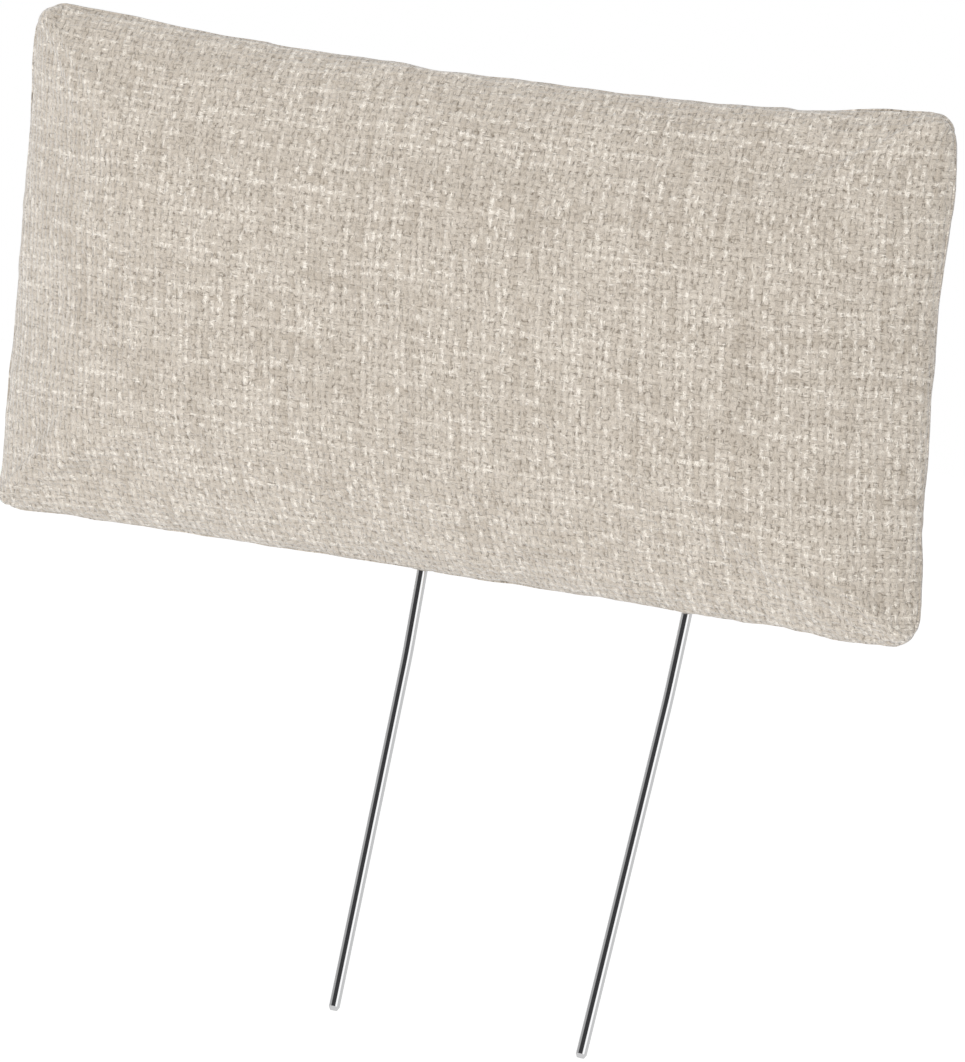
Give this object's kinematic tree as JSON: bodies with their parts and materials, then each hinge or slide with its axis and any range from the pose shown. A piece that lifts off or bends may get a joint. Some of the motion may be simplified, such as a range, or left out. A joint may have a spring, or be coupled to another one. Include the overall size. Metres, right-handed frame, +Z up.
{
  "type": "plug-in headrest",
  "caption": "Padded fabric headrest cushion on two bent chrome rods that plug in behind a sofa or chair back; zip on the lower back.",
  "frame": {"origin": "midway between the two rods where they leave the cushion's lower edge, in the plane of the edge seam", "axes": "+Z up along the cushion, -Y out of the cushion's front, +X to the right as seen from the front"},
  "size_m": [0.72, 0.1688, 0.6802],
  "materials": {
    "cover_fabric": "chunky beige plain weave with slubs",
    "fibre_wadding": "white polyester wadding",
    "seat_foam": "pale polyurethane foam",
    "plywood": "raw birch plywood",
    "rod_chrome": "bright chrome on steel bar",
    "zinc_steel": "zinc-plated steel",
    "zip_tape": "herringbone woven tape",
    "zip_plastic": "moulded zip teeth",
    "zip_metal": "satin nickel",
    "label_cloth": "blank white woven label"
  },
  "bodies": {
    "pad": {"front_cover": "cover_fabric", "back_cover_upper": "cover_fabric", "back_cover_lower": "cover_fabric", "wadding_front": "fibre_wadding", "wadding_back": "fibre_wadding", "foam_front": "seat_foam", "foam_back": "seat_foam", "rod_board": "plywood", "rod_left": "rod_chrome", "rod_right": "rod_chrome", "rod_clamp_lower_left": "zinc_steel", "rod_clamp_upper_left": "zinc_steel", "rod_clamp_lower_right": "zinc_steel", "rod_clamp_upper_right": "zinc_steel", "clamp_screws": "zinc_steel", "clamp_washers": "zinc_steel", "tee_nuts": "zinc_steel", "zip_tape_upper": "zip_tape", "zip_tape_lower": "zip_tape", "zip_teeth_upper": "zip_plastic", "zip_teeth_lower": "zip_plastic", "zip_stops": "zip_metal", "care_label": "label_cloth"},
    "zip_slider": {"zip_slider": "zip_metal"},
    "zip_pull": {"zip_pull": "zip_metal"}
  },
  "joints": [
    {"name": "zip_slide", "type": "slide", "parent": "pad", "child": "zip_slider", "axis": [-1, 0, 0], "range_m": [0, 0.436]},
    {"name": "pull_swing", "type": "hinge", "parent": "zip_slider", "child": "zip_pull", "pos_m": [0.13, 0.04086, 0.04667], "axis": [1, 0, 0], "range_deg": [-20, 147]}
  ]
}
